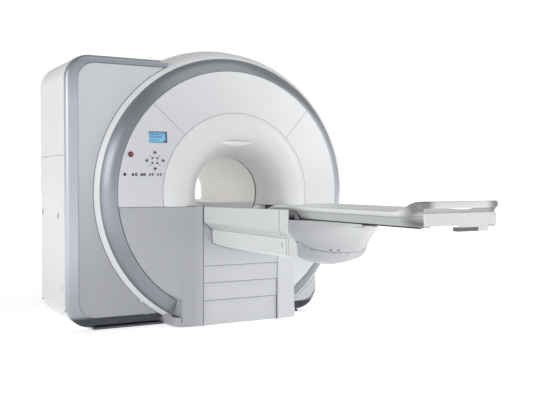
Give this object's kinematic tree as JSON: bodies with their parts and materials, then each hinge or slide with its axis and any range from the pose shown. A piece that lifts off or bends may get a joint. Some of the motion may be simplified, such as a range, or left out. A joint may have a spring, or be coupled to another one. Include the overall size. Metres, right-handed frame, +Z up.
{
  "type": "mri scanner",
  "caption": "Closed-bore magnetic resonance scanner with round gantry, square side housing, lifting cantilever arm and sliding patient tabletop.",
  "frame": {"origin": "on the floor under the bore axis, at the front plane of the square side housing", "axes": "+X to the right seen from the front, +Y into the machine along the bore, +Z up"},
  "size_m": [2.551, 4.0471, 2.25],
  "materials": {
    "white_cover": "satin white moulded cover",
    "grey_panel": "light grey satin panel",
    "silver_trim": "metallic silver blue paint",
    "nose_grey": "pale blue grey moulding",
    "table_shell": "fibre composite gel coat",
    "liner": "warm grey bore lining",
    "seal": "dark rubber",
    "steel": "brushed",
    "frame_paint": "grey powder coat",
    "coil_resin": "cast resin over windings",
    "lens": "clear window",
    "screen": "lit display",
    "key_black": "dark key",
    "key_red": "deep red cap",
    "belt": "toothed belt"
  },
  "bodies": {
    "gantry": {"vacuum_vessel": "steel", "helium_vessel": "steel", "main_coils": "coil_resin", "gradient_coil": "coil_resin", "body_coil": "coil_resin", "bore_liner": "liner", "bore_seal": "seal", "cold_head": "steel", "rf_cabinet": "frame_paint", "base_frame": "frame_paint", "pedestal_frame": "frame_paint", "slot_wall": "white_cover", "front_funnel": "white_cover", "rear_funnel": "white_cover", "upper_face_panel": "white_cover", "left_face_panel": "white_cover", "right_face_panel": "white_cover", "left_apron": "white_cover", "right_apron": "white_cover", "kick_panels": "white_cover", "ring_trim": "silver_trim", "drum_cover": "white_cover", "rear_cover": "white_cover", "band_trim": "silver_trim", "housing_front_panel": "grey_panel", "housing_upper_cover": "white_cover", "housing_lower_cover": "white_cover", "foot_cover": "white_cover", "cover_standoffs": "frame_paint", "laser_windows": "lens", "control_board": "key_black", "display_screen": "screen", "bore_bridge": "table_shell", "lift_barrel": "steel", "bottom_slat": "white_cover"},
    "lift": {"arm_frame": "frame_paint", "lift_rod": "steel", "lift_cover": "white_cover", "arm_deck": "grey_panel", "arm_cover_left": "white_cover", "arm_cover_right": "white_cover", "arm_belly": "white_cover", "arm_collar": "white_cover", "nose_cover": "nose_grey", "nose_chin": "nose_grey", "drive_motor": "frame_paint", "sync_belt": "belt"},
    "upper_slat": {"upper_slat": "white_cover"},
    "lower_slat": {"lower_slat": "white_cover"},
    "lift_stage": {"lift_stage": "steel"},
    "tabletop": {"tabletop": "table_shell", "end_plate": "table_shell", "drive_strip": "belt"},
    "drive_pulley": {"drive_pulley": "steel"},
    "relay_pulley": {"relay_pulley": "steel"},
    "up_key": {"up_key": "key_black"},
    "down_key": {"down_key": "key_black"},
    "left_key": {"left_key": "key_black"},
    "right_key": {"right_key": "key_black"},
    "stop_button": {"stop_button": "key_red"}
  },
  "joints": [
    {"name": "lift_slide", "type": "slide", "parent": "gantry", "child": "lift", "axis": [0, 0, 1], "range_m": [-0.45, 0]},
    {"name": "upper_slat_slide", "type": "slide", "parent": "gantry", "child": "upper_slat", "axis": [0, 0, 1], "range_m": [-0.3, 0]},
    {"name": "lower_slat_slide", "type": "slide", "parent": "gantry", "child": "lower_slat", "axis": [0, 0, 1], "range_m": [-0.15, 0]},
    {"name": "lift_stage_slide", "type": "slide", "parent": "gantry", "child": "lift_stage", "axis": [0, 0, 1], "range_m": [-0.225, 0]},
    {"name": "table_slide", "type": "slide", "parent": "lift", "child": "tabletop", "axis": [0, 1, 0], "range_m": [0, 1.9]},
    {"name": "drive_pulley_turn", "type": "hinge", "parent": "lift", "child": "drive_pulley", "pos_m": [0, -1.3, 0.8597], "axis": [1, 0, 0], "continuous": true},
    {"name": "relay_pulley_turn", "type": "hinge", "parent": "lift", "child": "relay_pulley", "pos_m": [0, -0.42, 0.8597], "axis": [1, 0, 0], "continuous": true},
    {"name": "up_key_press", "type": "slide", "parent": "gantry", "child": "up_key", "axis": [0, 1, 0], "range_m": [0, 0.003], "stiffness_N_per_m": 400},
    {"name": "down_key_press", "type": "slide", "parent": "gantry", "child": "down_key", "axis": [0, 1, 0], "range_m": [0, 0.003], "stiffness_N_per_m": 400},
    {"name": "left_key_press", "type": "slide", "parent": "gantry", "child": "left_key", "axis": [0, 1, 0], "range_m": [0, 0.003], "stiffness_N_per_m": 400},
    {"name": "right_key_press", "type": "slide", "parent": "gantry", "child": "right_key", "axis": [0, 1, 0], "range_m": [0, 0.003], "stiffness_N_per_m": 400},
    {"name": "stop_button_press", "type": "slide", "parent": "gantry", "child": "stop_button", "axis": [0, 1, 0], "range_m": [0, 0.003], "stiffness_N_per_m": 400}
  ],
  "couplings": [
    {"joint": "upper_slat_slide", "follows": "lift_slide", "ratio": 0.66667},
    {"joint": "lower_slat_slide", "follows": "lift_slide", "ratio": 0.33333},
    {"joint": "lift_stage_slide", "follows": "lift_slide", "ratio": 0.5},
    {"joint": "drive_pulley_turn", "follows": "table_slide", "rad_per_m": -25},
    {"joint": "relay_pulley_turn", "follows": "table_slide", "rad_per_m": -25}
  ]
}
